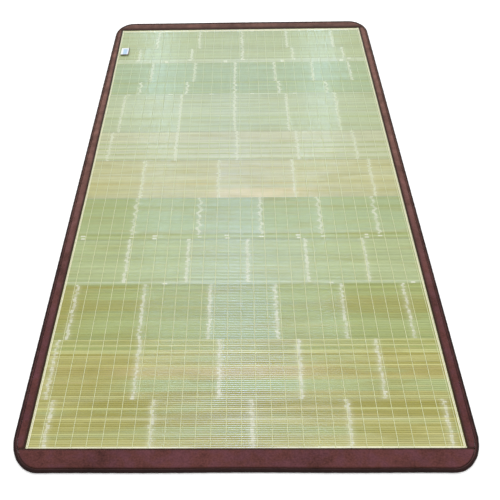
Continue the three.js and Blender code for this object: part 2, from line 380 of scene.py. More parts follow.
class ThreadSettings(PropertyGroup):
    """The sewing threads that hold the slats."""
    radius: length("Thread radius", "Half the thickness of a thread", 0.00062)
    edge_radius: length("Edge thread radius", "Half the thickness of an edge row", 0.00115)
    lines: whole_number("Lines", "Rows of thread between the edge rows", 28)
    spacing: length("Spacing", "Distance from row to row", 0.030)
    first: amount("First row", "Place of the first row on X", -0.396, unit="LENGTH")
    edge: length("Edge rows", "Distance of the edge rows from the middle", 0.4212)
    dip: length("Dip", "How far a thread dips between two slats", 0.0006)
    stray: length("Stray", "How far a thread wanders sideways", 0.0005)
    bare: whole_number("Bare slats", "Slats without thread under each end hem", 4)


class BindingSettings(PropertyGroup):
    """The cloth binding."""
    cloth: length("Cloth", "Thickness of the cloth", 0.0008)
    hem_return: length("Hem return", "Cloth turned under at the hem", 0.008)
    hem_rest: length("Hem rest", "Height of the turned-under layer's middle", 0.0052)
    stitch_inset: length("Stitch inset", "Distance of the topstitching from the hem", 0.003)
    pucker: length("Pucker", "Height of the puckers", 0.00028)
    close: length("Close", "How much closer the cloth comes to the piping in a corner", 0.0002)
    spacing: length("Spacing", "Distance between sections of the cloth", 0.004)


class StitchSettings(PropertyGroup):
    """The topstitching along the hems."""
    pitch: length("Pitch", "Distance from stitch to stitch", 0.004)
    long: length("Stitch length", "Length of one stitch", 0.0031)
    radius: length("Stitch radius", "Half the thickness of the stitching thread", 0.00034)


class PipingSettings(PropertyGroup):
    """The covered cord round the edge."""
    sides: whole_number("Sides", "Sides of its round section", 14)
    spacing: length("Spacing", "Distance between its sections", 0.006)
    ripple: length("Ripple", "Height of the ripples in its cover", 0.00016)
    ripple_pitch: length("Ripple pitch", "Distance from ripple to ripple", 0.023)


class LabelSettings(PropertyGroup):
    """The blank patch."""
    cloth: length("Cloth", "Thickness of the patch", 0.0005)
    border: length("Border", "Width of its white border", 0.007)


class ColourSettings(PropertyGroup):
    """Colours of the finishes."""
    straw: colour("Straw", "Yellow bamboo", 184, 181, 114)
    olive: colour("Olive", "Dark yellow bamboo", 156, 150, 68)
    moss: colour("Moss", "Dark green bamboo", 154, 163, 90)
    leaf: colour("Leaf", "Green bamboo", 167, 180, 122)
    tan: colour("Tan", "Brownish bamboo", 184, 172, 110)
    cream: colour("Cream", "Pale yellow bamboo", 191, 193, 155)
    lime: colour("Lime", "Bright yellow-green bamboo", 202, 207, 140)
    rim: colour("Rim", "Slats and threads beside the hems", 240, 237, 203)
    blush: colour("Blush", "Pinkish bamboo", 212, 201, 152)
    sage: colour("Sage", "Blue-green bamboo", 166, 185, 146)
    mist: colour("Mist", "Pale green bamboo", 183, 194, 156)
    milk: colour("Milk", "Palest bamboo", 196, 206, 170)
    node: colour("Node", "Scar at a node", 222, 222, 202)
    thread: colour("Thread", "Sewing thread", 228, 232, 184)
    maroon: colour("Maroon", "Binding cloth", 103, 59, 55)
    plum: colour("Plum", "Purple blotches of the binding cloth", 93, 54, 58)
    # Painted sheen: the lighter, browner tone the cloth takes towards the far end, seen at a grazing
    # angle
    far_sheen: colour("Far_sheen", "Binding cloth and piping towards the far end", 132, 96, 84)
    # Painted shade of the binding cloth
    shadow: colour("Shadow", "Binding cloth where it is pressed", 50, 32, 20)
    # Painted shade of the piping, on its outer side and in its seam
    underside_shade: colour("Underside_shade", "Outer side of the piping", 30, 22, 20)
    piping: colour("Piping", "Cover of the piping", 100, 64, 62)
    stitch: colour("Stitch", "Topstitching thread", 78, 46, 46)
    label: colour("Label", "Patch", 240, 243, 244)
    label_field: colour("Label field", "Field on the patch", 178, 208, 232)


class StageSettings(PropertyGroup):
    """Camera, lights and floor."""
    camera_at: FloatVectorProperty(name="Camera", description="Place of the camera", size=3,
                                   default=(-0.0028, -1.7985, 1.2921), subtype="XYZ")
    down: amount("Down", "How far the camera looks down", math.radians(40.987), subtype="ANGLE")
    turn: amount("Turn", "How far the camera turns sideways", math.radians(-1.568), subtype="ANGLE")
    roll: amount("Roll", "How far the camera rolls", math.radians(-1.424), subtype="ANGLE")
    lens: amount("Lens", "Focal length in mm", 57.38)
    shift: amount("Shift", "Sideways shift of the lens", 0.049)
    floor: length("Floor", "Side of the floor", 14.0)
    sky: amount("Sky", "Strength of the light from all round", 1.0)
    softbox: amount("Softbox", "Power of the light overhead", 20.0, unit="POWER")
    window: amount("Windows", "Power of the cool lights on the slats", 60.0, unit="POWER")


GROUPS = {
    "outline": OutlineSettings,
    "slats": SlatSettings,
    "threads": ThreadSettings,
    "binding": BindingSettings,
    "stitches": StitchSettings,
    "piping": PipingSettings,
    "label": LabelSettings,
    "colours": ColourSettings,
    "stage": StageSettings,
}


class MatSettings(PropertyGroup):
    """All settings of the mat."""
    __annotations__ = {name: PointerProperty(type=group) for name, group in GROUPS.items()}


# Small tools for meshes

def mesh_object(name, points, faces, edges=()):
    mesh = bpy.data.meshes.new(name)
    points = [tuple(point) for point in points]
    mesh.from_pydata(points, list(edges), [tuple(face) for face in faces])
    mesh.update()
    piece = bpy.data.objects.new(name, mesh)
    bpy.context.scene.collection.objects.link(piece)
    return piece


def spread(numbers, grid):
    """The numbers repeated over a grid's rows and columns."""
    return np.broadcast_to(numbers, grid.shape)


def read_table(table, place):
    """The second column of a table at a place given in its first, between its rows too."""
    places, numbers = zip(*table)
    return np.interp(place, places, numbers)


def add_numbers(mesh, name, numbers):
    layer = mesh.attributes.new(name, "FLOAT", "POINT")
    layer.data.foreach_set("value", np.asarray(numbers, dtype=np.float32).ravel())


def read_numbers(mesh, name):
    numbers = np.empty(len(mesh.vertices), dtype=np.float32)
    mesh.attributes[name].data.foreach_get("value", numbers)
    return numbers


def read_places(mesh):
    places = np.empty(len(mesh.vertices) * 3, dtype=np.float32)
    mesh.vertices.foreach_get("co", places)
    return places.reshape(-1, 3)


def add_uv(mesh, across, along):
    """Stores a UV map in metres from one pair of numbers for each vertex."""
    corners = np.empty(len(mesh.loops), dtype=np.int32)
    mesh.loops.foreach_get("vertex_index", corners)
    pairs = np.stack([np.ravel(across)[corners], np.ravel(along)[corners]], axis=1)
    mesh.uv_layers.new(name="cloth").data.foreach_set("uv", pairs.astype(np.float32).ravel())


def grid_faces(rows, columns, closed_rows=False, closed_columns=False):
    """Quads over a grid of points, counted row by row."""
    faces = []
    for row in range(rows if closed_rows else rows - 1):
        below = row * columns
        above = (row + 1) % rows * columns
        for column in range(columns if closed_columns else columns - 1):
            beside = (column + 1) % columns
            faces.append((below + column, below + beside, above + beside, above + column))
    return faces


def bake_modifiers(piece):
    """Makes the evaluated shape the piece's own plain mesh."""
    depsgraph = bpy.context.evaluated_depsgraph_get()
    evaluated = piece.evaluated_get(depsgraph)
    made = bpy.data.meshes.new_from_object(evaluated, preserve_all_data_layers=True,
                                           depsgraph=depsgraph)
    piece.modifiers.clear()
    old = piece.data
    piece.data = made
    made.name = piece.name
    bpy.data.meshes.remove(old)


def thicken(piece, thickness):
    modifier = piece.modifiers.new("cloth", "SOLIDIFY")
    modifier.thickness = thickness
    modifier.offset = 0.0
    bake_modifiers(piece)


def join_pieces(pieces):
    """Joins the pieces into the first one."""
    if len(pieces) > 1:
        with bpy.context.temp_override(active_object=pieces[0], selected_editable_objects=pieces):
            bpy.ops.object.join()
    return pieces[0]


def smooth(piece, angle=SHARP_ANGLE):
    """Shades the piece smooth, with edges sharper than the angle left sharp."""
    piece.data.shade_smooth()
    piece.data.set_sharp_from_angle(angle=angle)


def finish_piece(piece, material, nodes=()):
    """Gives the piece its material, its body and the nodes that it stands for."""
    piece.data.materials.clear()
    piece.data.materials.append(material)
    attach(piece, BODY)
    if nodes:
        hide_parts(*nodes)


def waves(along, across, seed, lowest, highest):
    """Soft unevenness, mostly between -1 and 1: waves of random direction, in turns a metre."""
    draws = np.random.default_rng(seed)
    total = np.zeros(np.broadcast(along, across).shape)
    for _ in range(WAVE_COUNT):
        turns = draws.uniform(lowest, highest)
        heading = draws.uniform(0, math.pi)
        start = draws.uniform(0, 2 * math.pi)
        travel = along * math.cos(heading) + across * math.sin(heading)
        total = total + np.sin(2 * math.pi * turns * travel + start)
    return total / (0.5 * WAVE_COUNT)


def bump_at(distance, width, power=2):
    """1 where the distance is 0, falling softly to 0 beyond the width."""
    return np.exp(-(distance / width) ** power)


# Nodes for materials and for repeated shapes

def maths(operation, swapped=False):
    """A method that adds a Math node. Swapped, it serves an expression such as 1 - value."""
    def method(value, *others):
        inputs = dict(enumerate((*others, value) if swapped else (value, *others)))
        return value.recipe.node("ShaderNodeMath", {"operation": operation}, inputs)
    return method


class Value:
    """A node's output. An expression on numbers adds its Math nodes to the tree."""

    def __init__(self, recipe, socket):
        self.recipe = recipe
        self.socket = socket

    __add__, __radd__ = maths("ADD"), maths("ADD", swapped=True)
    __sub__, __rsub__ = maths("SUBTRACT"), maths("SUBTRACT", swapped=True)
    __mul__, __rmul__ = maths("MULTIPLY"), maths("MULTIPLY", swapped=True)
    __truediv__, __rtruediv__ = maths("DIVIDE"), maths("DIVIDE", swapped=True)
    __pow__, __rpow__ = maths("POWER"), maths("POWER", swapped=True)
    __abs__ = maths("ABSOLUTE")
    sine = maths("SINE")
    at_least = maths("MAXIMUM")
    at_most = maths("MINIMUM")
    remainder = maths("FLOORED_MODULO")

    def fade(self, low, high):
        """0 below low, 1 above high and soft between."""
        settings = {"interpolation_type": "SMOOTHSTEP"}
        return self.recipe.node("ShaderNodeMapRange", settings, {0: self, 1: low, 2: high})

    def ripple(self):
        """Waves between 0 and 1, one for each whole number."""
        return (self * (2 * math.pi)).sine() * 0.5 + 0.5


class Recipe:
    """Adds nodes to one tree."""

    def __init__(self, tree):
        self.tree = tree

    def node(self, kind, settings=None, inputs=None, output=0):
        """Adds a node: its settings first, then the values or links of its sockets."""
        made = self.tree.nodes.new(kind)
        for name, setting in (settings or {}).items():
            setattr(made, name, setting)
        for key, given in (inputs or {}).items():
            socket = made.inputs[key]
            if isinstance(given, Value):
                self.tree.links.new(given.socket, socket)
            elif given is not None:
                socket.default_value = given
        return Value(self, made.outputs[output] if len(made.outputs) else None)

    def vector(self, x=0.0, y=0.0, z=0.0):
        return self.node("ShaderNodeCombineXYZ", None, {0: x, 1: y, 2: z})

    def parts(self, vector):
        """The three numbers of a vector."""
        first = self.node("ShaderNodeSeparateXYZ", None, {0: vector})
        split = first.socket.node
        return tuple(Value(self, socket) for socket in split.outputs)

    def noise(self, x, y, z=0.0, detail=2.0):
        """Soft noise from about 0 to 1, given places times spots a metre."""
        inputs = {"Vector": self.vector(x, y, z), "Scale": 1.0, "Detail": detail}
        return self.node("ShaderNodeTexNoise", None, inputs)

    def speckle(self, x, y, z=0.0):
        """A number from 0 to 1 that differs at every place."""
        return self.node("ShaderNodeTexWhiteNoise", None, {"Vector": self.vector(x, y, z)})


class Finish(Recipe):
    """The nodes of one material, ending in a Principled shader."""

    def __init__(self, name, constants):
        self.material = bpy.data.materials.new(name)
        self.material.use_nodes = True
        super().__init__(self.material.node_tree)
        self.tree.nodes.clear()
        self.shader = self.node("ShaderNodeBsdfPrincipled", None, constants)
        self.node("ShaderNodeOutputMaterial", None, {"Surface": self.shader})

    def place(self):
        """The place on the object: its X, Y and Z."""
        return self.parts(self.node("ShaderNodeTexCoord", output="Object"))

    def cloth_place(self):
        """The place on the flat cloth: along and across."""
        return self.parts(self.node("ShaderNodeUVMap", {"uv_map": "cloth"}))[:2]

    def stored(self, name, output="Fac"):
        """What the mesh stores under a name: a number, or a colour with output Color."""
        return self.node("ShaderNodeAttribute", {"attribute_name": name}, output=output)

    def blend(self, first, second, share):
        """Mixes two colours, each a value or a tone of the settings."""
        given = [tone if isinstance(tone, Value) else (*tone, 1.0) for tone in (first, second)]
        inputs = {0: share, 6: given[0], 7: given[1]}
        return self.node("ShaderNodeMix", {"data_type": "RGBA"}, inputs, output=2)

    def brighten(self, tone, factor):
        """Scales a colour's brightness by a number."""
        inputs = {0: tone, "Scale": factor}
        return self.node("ShaderNodeVectorMath", {"operation": "SCALE"}, inputs)

    def finish(self, base, roughness, height=None, depth=0.0):
        """Links what varies over the surface to the shader."""
        shader = self.shader.socket.node
        for name, value in (("Base Color", base), ("Roughness", roughness)):
            self.tree.links.new(value.socket, shader.inputs[name])
        if height is not None:
            inputs = {"Strength": 1.0, "Distance": depth, "Height": height}
            bump = self.node("ShaderNodeBump", None, inputs)
            self.tree.links.new(bump.socket, shader.inputs["Normal"])
        return self.material


def shared_material(name, make):
    """The material of that name, made on its first use."""
    return bpy.data.materials.get(name) or make(name, bpy.context.scene.bamboo_mat.colours)


def bamboo_finish(name, tones):
    """Split bamboo: a tint for each slat, long streaks, fibres and pale scars at the nodes."""
    finish = Finish(name, {"IOR": 1.48, "Coat Weight": 0.05, "Coat Roughness": 0.3})
    x, y, z = finish.place()
    number = finish.stored("slat_number")
    gap = finish.stored("node_gap")
    node_number = finish.stored("node_number")
    mottle = finish.stored("mottle")
    tint = finish.stored("tint", "Color")

    streak = finish.noise(x * 5.0, number * 4.37)
    cloud = finish.noise(x * 18.0, number * 2.91)
    fibre = finish.noise(x * 26.0, y * 1200.0, z * 900.0, detail=3.0)
    patch = finish.noise(x * 5.5, y * 34.0, detail=3.0)
    hue = finish.noise(x * 3.5 + 20.0, number * 0.55)
    base = finish.blend(tint, tones.olive, patch.fade(0.50, 0.68) * mottle * 0.6)
    base = finish.blend(base, tones.leaf, (1.0 - patch).fade(0.52, 0.70) * mottle * 0.5)
    base = finish.blend(base, tones.tan, hue.fade(0.56, 0.72) * mottle * 0.45)
    uneven = 0.26 + y.fade(-0.2, 0.4) * 0.16
    tone = 0.98 + (streak - 0.5) * uneven + (cloud - 0.5) * 0.12 + (fibre - 0.5) * 0.22
    base = finish.brighten(base, tone)

    stray = (finish.noise(x * 300.0, number * 7.7, detail=1.0) - 0.5) * 0.003
    strength = finish.speckle(number, node_number)
    knot = finish.stored("knot")
    reach = finish.speckle(number, node_number, 0.5) * 0.0026 + 0.0004 + knot * 0.0025
    core = 1.0 - (gap + stray).fade(reach, reach + 0.0026)
    halo = 1.0 - (gap + stray * 2.0).fade(0.002, 0.014)
    scar = core * (0.14 + strength * 0.52 + knot * 0.35) + halo * (0.10 + mottle * 0.10)
    pale = finish.blend(tones.node, tones.milk, y.fade(-0.5, 0.3) * 0.5)
    base = finish.blend(base, pale, (scar * (1.0 + y.fade(0.1, 0.5) * 0.4)).at_most(0.9))
    ridge = 1.0 - gap.fade(0.0003, 0.0009)
    base = finish.brighten(base, 1.0 - ridge * 0.10)

    roughness = 0.25 + (fibre - 0.5) * 0.04 + core * 0.12
    return finish.finish(base, roughness, fibre, 0.00002)


def thread_finish(name, tones, tone="thread", green_and_light_share=0.8):
    """Sewing thread: pale, finely twisted, greener and painted lighter towards the far end."""
    finish = Finish(name, {"IOR": 1.45, "Sheen Weight": 0.2})
    x, y, z = finish.place()
    twist = (y * 900.0 + x * 2500.0 + z * 2500.0).ripple()
    uneven = finish.noise(x * 40.0, y * 60.0, z * 40.0)
    far_green_and_painted_light = y.fade(-0.5, 0.35) * green_and_light_share
    base = finish.blend(getattr(tones, tone), tones.straw, uneven * 0.4 * green_and_light_share)
    base = finish.blend(base, tones.milk, far_green_and_painted_light)
    # Painted light: lighter towards the far end, to offset the shade on the thread's round sides
    base = finish.brighten(base, 0.96 + twist * 0.12 + far_green_and_painted_light * 0.20)
    return finish.finish(base, 0.40 + twist * 0.1, twist, 0.00002)


def edge_thread_finish(name, tones):
    return thread_finish(name, tones, "rim", 0.15)


def weave_finish(name, tones, cloth, pitch, bias, dark_below, sheen):
    """Plain woven cloth, with painted shade where the mesh stores it and close to the floor.

    cloth holds its tone, the tone of its blotches and the tone of its painted shade.
    """
    soft = {"Specular IOR Level": sheen * 1.6, "Sheen Weight": sheen, "Sheen Roughness": 0.4}
    finish = Finish(name, {"IOR": 1.45, **soft})
    along, across = finish.cloth_place()
    x, y, z = finish.place()
    first, second, shadow = cloth
    ways = (along + across, along - across) if bias else (along, across)
    warp, weft = [(way * (math.pi / pitch)).sine() for way in ways]
    yarn = abs(warp * weft)
    slub = finish.noise(along * 90.0, across * 900.0)
    blotch = finish.noise(x * 45.0, y * 45.0, z * 45.0, detail=3.0)
    wear = finish.noise(x * 9.0, y * 9.0)
    fleck = finish.noise(x * 260.0, y * 260.0, z * 260.0)
    base = finish.blend(first, second, blotch.fade(0.38, 0.64))
    # Painted sheen: lighter and browner towards the far end, where the cloth is seen at a grazing
    # angle
    base = finish.blend(base, tones.far_sheen, y.fade(-0.75, 0.45) * 0.85)
    tone = 0.80 + yarn * 0.22 + (slub - 0.5) * 0.28 + (wear - 0.5) * 0.70
    tone = tone + (blotch - 0.5) * 1.30 + (fleck - 0.5) * 0.90
    base = finish.brighten(base, tone)
    # Painted shade, where the mesh stores it
    base = finish.blend(base, shadow, finish.stored("painted_shade") * 0.92)
    # Painted shade close to the floor
    low = 1.0 - z.fade(0.0, dark_below)
    base = finish.brighten(base, 1.0 - low * 0.8)
    return finish.finish(base, 0.86 + (slub - 0.5) * 0.1, yarn + slub * 0.5, 0.00016)


def binding_finish(name, tones):
    return weave_finish(name, tones, (tones.maroon, tones.plum, tones.shadow),
                        pitch=0.0006, bias=False, dark_below=0.0035, sheen=0.07)


def piping_finish(name, tones):
    return weave_finish(name, tones, (tones.piping, tones.piping, tones.underside_shade),
                        pitch=0.0005, bias=True, dark_below=0.0050, sheen=0.04)


def stitch_finish(name, tones):
    """Topstitching thread in the colour of the cloth."""
    finish = Finish(name, {"IOR": 1.45, "Sheen Weight": 0.15})
    x, y, z = finish.place()
    twist = (x * 1800.0 + y * 1700.0 + z * 1500.0).ripple()
    uneven = finish.noise(x * 60.0, y * 60.0, z * 60.0)
    base = finish.blend(tones.stitch, tones.maroon, uneven * 0.5)
    base = finish.brighten(base, 0.75 + twist * 0.25)
    return finish.finish(base, 0.7 + twist * 0.1, twist, 0.00006)


def label_finish(name, tones):
    """A smooth woven patch: white, with a plain pale field inside its border."""
    border = bpy.context.scene.bamboo_mat.label.border
    finish = Finish(name, {"IOR": 1.46, "Sheen Weight": 0.1})
    along, across = finish.cloth_place()
    from_side = (LABEL_WIDTH / 2) - abs(across - LABEL_WIDTH / 2)
    from_end = (LABEL_LENGTH / 2) - abs(along - LABEL_LENGTH / 2)
    field = from_side.at_most(from_end).fade(border - 0.0006, border + 0.0006)
    ribs = (along / 0.0007).ripple()
    soil = finish.noise(along * 60.0, across * 60.0, detail=3.0)
    base = finish.blend(tones.label, tones.label_field, field)
    # Painted shadow along the patch's right and near edges, in the topstitching thread's tone
    turned = (LABEL_WIDTH - across).at_most((LABEL_LENGTH - along) * 0.6)
    base = finish.blend(tones.stitch, base, turned.fade(0.0026, 0.0036))
    base = finish.brighten(base, 0.93 + ribs * 0.04 + (soil - 0.5) * 0.10)
    return finish.finish(base, 0.55 + (soil - 0.5) * 0.2, ribs, 0.00008)


def floor_finish(name, _tones):
    """A pale floor that glows a little, so that it stays near white in the shade."""
    glow = {"Emission Color": (1.0, 1.0, 1.0, 1.0), "Emission Strength": 0.25}
    finish = Finish(name, {"IOR": 1.3, "Specular IOR Level": 0.0, **glow})
    x, y, _ = finish.place()
    grain = finish.noise(x * 3.0, y * 3.0)
    base = finish.blend((0.95, 0.95, 0.95), (0.96, 0.96, 0.96), grain)
    return finish.finish(base, 0.9 + grain * 0.05)


# Geometry node trees

class Layout(Recipe):
    """The nodes of one repeated shape, with a named input for each size."""

    def __init__(self, name, shape, sizes, counts=()):
        super().__init__(bpy.data.node_groups.new(name, "GeometryNodeTree"))
        sockets = [(shape, "Geometry"), *((size, "Float") for size in sizes),
                   *((count, "Int") for count in counts), ("Material", "Material")]
        add_socket = self.tree.interface.new_socket
        for title, kind in sockets:
            add_socket(title, in_out="INPUT", socket_type=f"NodeSocket{kind}")
        add_socket("Geometry", in_out="OUTPUT", socket_type="NodeSocketGeometry")
        first = self.node("NodeGroupInput").socket.node
        self.given = {socket.name: Value(self, socket) for socket in first.outputs if socket.name}

    def position(self):
        return self.parts(self.node("GeometryNodeInputPosition"))

    def row(self, count, start, step):
        """Points in a straight row, from its start on by equal steps."""
        places = {"Start Location": self.vector(*start), "Offset": self.vector(*step)}
        return self.node("GeometryNodeMeshLine", {"mode": "OFFSET"}, {"Count": count, **places})

    def move(self, shape, x=0.0, z=0.0):
        """Moves the points of a shape sideways and up."""
        inputs = {"Geometry": shape, "Offset": self.vector(x, 0.0, z)}
        return self.node("GeometryNodeSetPosition", None, inputs)

    def copies(self, points, shape, rotation=None, scale=None):
        """A copy of the shape at each point."""
        inputs = {"Points": points, "Instance": shape, "Rotation": rotation, "Scale": scale}
        return self.node("GeometryNodeInstanceOnPoints", None, inputs)

    def realize(self, shape):
        return self.node("GeometryNodeRealizeInstances", None, {"Geometry": shape})

    def close(self, shape):
        """Ends the tree: its copies realized, then its material."""
        inputs = {"Geometry": self.realize(shape), "Material": self.given["Material"]}
        made = self.node("GeometryNodeSetMaterial", None, inputs)
        self.node("NodeGroupOutput", None, {"Geometry": made})
        return self.tree


def run_tree(piece, tree, values):
    """Runs a tree on the piece with these inputs and keeps the result as a plain mesh."""
    modifier = piece.modifiers.new("shape", "NODES")
    modifier.node_group = tree
    for item in tree.interface.items_tree:
        if item.in_out == "INPUT" and item.name in values:
            modifier[item.identifier] = values[item.name]
    bake_modifiers(piece)


def slat_tree():
    """Lays copies of one slat side by side along Y, shortened to the rounded corners."""
    layout = Layout("Lay slats", "Slat", (
        "First", "Pitch", "Half length", "Corner across", "Corner start", "Corner along",
        "Tilt", "Lift", "Wobble", "Zigzag", "Zigzag period",
    ), ("Count", "Number", "Seed"))
    given = layout.given
    line = layout.row(given["Count"], (0.0, given["First"], 0.0), (0.0, given["Pitch"], 0.0))
    number = layout.node("GeometryNodeInputIndex") + given["Number"]
    place = layout.vector(number, given["Seed"], 0.5)
    draw = layout.node("ShaderNodeTexWhiteNoise", None, {"Vector": place}, output="Color")
    lean, height, breadth = layout.parts(draw)
    line = layout.move(line, z=(height * 2.0 - 1.0) * given["Lift"])
    _, y, _ = layout.position()
    beyond = (abs(y) - given["Corner start"]) / given["Corner along"]
    beyond = beyond.at_least(0.0).at_most(ARC_END)
    short = (1.0 - (1.0 - beyond * beyond) ** 0.5) * given["Corner across"]
    broad = NARROWEST + breadth * (1 - NARROWEST)
    laid = layout.copies(
        line, given["Slat"],
        rotation=layout.vector((lean * 2.0 - 1.0) * given["Tilt"]),
        scale=layout.vector(1.0 - short / given["Half length"], broad, 1.0),
    )
    kind = {"data_type": "FLOAT"}
    inputs = {"Geometry": laid, "Name": "slat_number", "Value": number}
    laid = layout.node("GeometryNodeStoreNamedAttribute", {**kind, "domain": "INSTANCE"}, inputs)
    slat_number, node_number, slide = [
        layout.node("GeometryNodeInputNamedAttribute", kind, {"Name": name})
        for name in ("slat_number", "node_number", "slide")
    ]
    stray = layout.speckle(slat_number, node_number, given["Seed"])
    turn = (y / given["Zigzag period"]).remainder(1.0)
    zigzag = abs(turn * 4.0 - 2.0) - 1.0
    sideways = slide * ((stray * 2.0 - 1.0) * given["Wobble"] + zigzag * given["Zigzag"])
    return layout.close(layout.move(layout.realize(laid), x=sideways))


def thread_tree():
    """Lays rows of thread along Y that rise over each slat and dip between slats."""
    layout = Layout("Lay threads", "Geometry", (
        "Start", "Step", "Crest", "Dip", "Radius", "First row", "Spacing", "Stray",
    ), ("Steps", "Rows"))
    given = layout.given
    line = layout.row(given["Steps"], (0.0, given["Start"], given["Crest"]),
                      (0.0, given["Step"], 0.0))
    odd = layout.node("GeometryNodeInputIndex").remainder(2.0)
    line = layout.move(line, z=(1.0 - odd) * (0.0 - given["Dip"]))
    path = layout.node("GeometryNodeMeshToCurve", None, {"Mesh": line})
    inputs = {"Resolution": THREAD_SIDES, "Radius": given["Radius"]}
    section = layout.node("GeometryNodeCurvePrimitiveCircle", {"mode": "RADIUS"}, inputs)
    inputs = {"Curve": path, "Profile Curve": section, "Fill Caps": True}
    thread = layout.node("GeometryNodeCurveToMesh", None, inputs)
    starts = layout.row(given["Rows"], (given["First row"],), (given["Spacing"],))
    laid = layout.realize(layout.copies(starts, thread))
    x, y, _ = layout.position()
    wander = layout.noise(x * 30.0, y * 9.0)
    return layout.close(layout.move(laid, x=(wander * 2.0 - 1.0) * given["Stray"]))


def stitch_tree():
    """Sets stitches along the piece's own lines, end to end with small gaps."""
    layout = Layout("Set stitches", "Lines", ("Pitch", "Long", "Radius"))
    given = layout.given
    path = layout.node("GeometryNodeMeshToCurve", None, {"Mesh": given["Lines"]})
    inputs = {"Curve": path, "Length": given["Pitch"]}
    points = layout.node("GeometryNodeResampleCurve", {"mode": "LENGTH"}, inputs)
    inputs = {"Segments": STITCH_SIDES, "Rings": STITCH_RINGS, "Radius": 1.0}
    stitch = layout.node("GeometryNodeMeshUVSphere", None, inputs)
    tangent = layout.node("GeometryNodeInputTangent")
    facing = layout.node("FunctionNodeAlignEulerToVector", {"axis": "Z"}, {"Vector": tangent})
    size = layout.vector(given["Radius"], given["Radius"], given["Long"] / 2.0)
    return layout.close(layout.copies(points, stitch, rotation=facing, scale=size))


# Slats

def slat_stations(nodes, reach):
    """Places along a slat: the gap to the nearest node, that node, the internode and the slide."""
    end = SLAT_HIGH[0]
    edges = [-end, *[(a + b) / 2 for a, b in zip(nodes, nodes[1:])], end]
    places = set(edges)
    for node in nodes:
        places.update((node - reach, node, node + reach))
    stations = []
    for place in sorted(places):
        nearest = min(range(len(nodes)), key=lambda i: abs(place - nodes[i]))
        gap = abs(place - nodes[nearest])
        slide = 0.0 if abs(place) == end else 1.0 if gap <= reach * 1.01 else 0.5
        internode = sum(node < place - 1e-6 for node in nodes)
        stations.append((place, gap, nearest, internode, slide))
    return stations


def make_slat(name, nodes, settings):
    """One slat: flat below, crowned above, with a slight swelling at each node."""
    half = settings.width / 2
    low = SLAT_LOW[2]
    high = SLAT_HIGH[2] - settings.lift - half * math.sin(settings.tilt)
    points = []
    numbers = {"node_gap": [], "node_number": [], "internode": [], "slide": []}
    for place, *facts in slat_stations(nodes, settings.node_reach):
        gap = facts[0]
        swell = settings.node_swell * max(0.0, 1 - gap / settings.node_reach)
        for across, up in SLAT_SECTION:
            thick = high - low - settings.node_swell + swell
            points.append((place, across * half, low + up * thick))
            for listed, fact in zip(numbers.values(), facts):
                listed.append(fact)
    sides = len(SLAT_SECTION)
    rows = len(points) // sides
    faces = grid_faces(rows, sides, closed_columns=True)
    faces.append(tuple(reversed(range(sides))))
    faces.append(tuple(range((rows - 1) * sides, rows * sides)))
    piece = mesh_object(name, points, faces)
    for name, listed in numbers.items():
        add_numbers(piece.data, name, listed)
    return piece


def slat_tints(bundle, order, tones, seed, number, internode):
    """The bundle's two tones at each point, uneven by slat and by internode."""
    draws = np.random.default_rng(seed)
    single = draws.uniform(-1, 1, SLAT_COUNT)
    posts = np.arange(0, SLAT_COUNT + SHADE_SLATS, SHADE_SLATS)
    grouped = np.interp(np.arange(SLAT_COUNT), posts, draws.uniform(-1, 1, len(posts)))
    bright = draws.uniform(-1, 1, SLAT_COUNT) ** 5
    segment = np.random.default_rng(seed + order).uniform(-1, 1, len(bundle.nodes) + 1)
    uneven = (0.5 * single + 0.6 * grouped)[number] + 0.5 * segment[internode]
    share = np.clip(bundle.share + 0.5 * bundle.mottle * uneven, 0, 1)[:, None]
    light = np.array(getattr(tones, bundle.light))
    deep = np.array(getattr(tones, bundle.deep))
    contrast = 0.055 + 0.02 * bundle.mottle
    shade = 1 + contrast * draws.uniform(-1, 1, SLAT_COUNT) + 1.4 * contrast * bright
    return (light + (deep - light) * share) * shade[number][:, None]


def paint_slats(mesh, order, tones, seed):
    """Stores each point's bamboo colour, with darker rims of the bundle and with its streaks."""
    bundle = BUNDLES[order]
    number = read_numbers(mesh, "slat_number").astype(int)
    internode = read_numbers(mesh, "internode").astype(int)
    across = read_places(mesh)[:, 0]
    along = SLAT_LOW[1] + (number + 0.5) * SLAT_PITCH
    tint = slat_tints(bundle, order, tones, seed, number, internode)
    trim = bundle.slats <= TRIM_SLATS
    if not trim:
        first = sum(row.slats for row in BUNDLES[:order])
        rim = np.minimum(number - first, first + bundle.slats - 1 - number)
        tint = tint * np.where(rim == 0, RIM_SHADE, 1.0)[:, None]
    add_numbers(mesh, "mottle", np.full(len(number), bundle.mottle))
    add_numbers(mesh, "knot", np.full(len(number), float(trim)))
    for streak in STREAKS:
        on = np.abs(along - streak.middle) < streak.half
        left = np.clip((across - streak.left) / STREAK_FADE + 1, 0, 1)
        right = np.clip((streak.right - across) / STREAK_FADE + 1, 0, 1)
        amount = (on * left * right * streak.strength)[:, None]
        tint = tint + (np.array(getattr(tones, streak.colour)) - tint) * amount
    layer = mesh.color_attributes.new("tint", "FLOAT_COLOR", "POINT")
    full = np.concatenate([tint, np.ones((len(tint), 1))], axis=1)
    layer.data.foreach_set("color", full.astype(np.float32).ravel())


